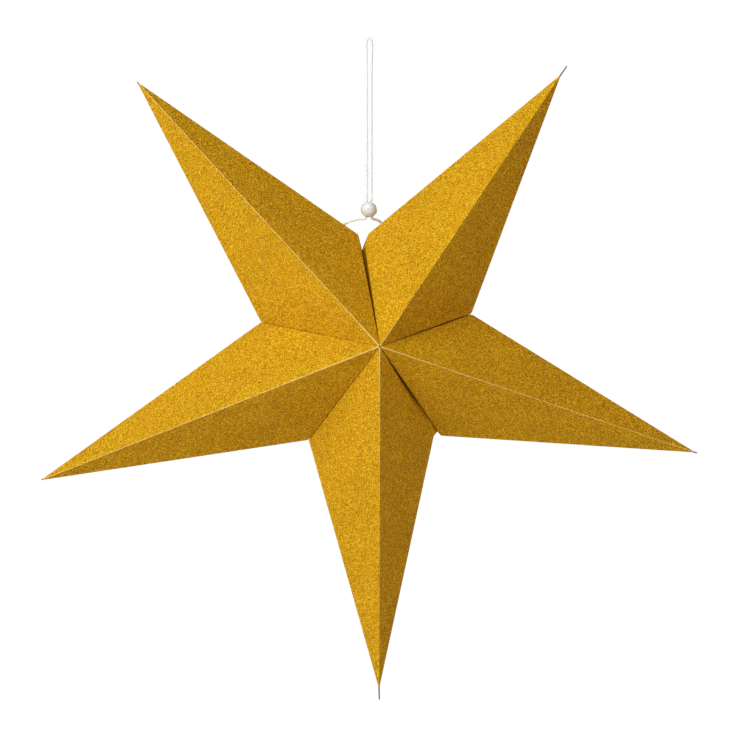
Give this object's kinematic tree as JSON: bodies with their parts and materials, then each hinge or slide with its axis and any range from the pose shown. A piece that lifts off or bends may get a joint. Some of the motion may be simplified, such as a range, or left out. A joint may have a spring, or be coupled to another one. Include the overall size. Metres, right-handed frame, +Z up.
{
  "type": "folded paper star",
  "caption": "Hollow folded star of glitter card, ridged front and back, hung by a cord loop with a sliding bead.",
  "frame": {"origin": "the hanging point, inside the top of the cord's loop", "axes": "+Z up, -Y out of the star's front face, +X to the right as seen from the front"},
  "size_m": [0.6031, 0.1712, 0.6058],
  "materials": {
    "gold_glitter_card": "satin",
    "white_cord": "matte",
    "white_bead": "gloss"
  },
  "bodies": {
    "star": {"point_upper_left": "gold_glitter_card", "point_left": "gold_glitter_card", "point_bottom": "gold_glitter_card", "point_right": "gold_glitter_card", "point_upper_right": "gold_glitter_card", "hanging_cord": "white_cord"},
    "bead": {"bead": "white_bead"}
  },
  "joints": [
    {"name": "bead_slide", "type": "slide", "parent": "star", "child": "bead", "axis": [0, 0, 1], "range_m": [0, 0.12]}
  ]
}
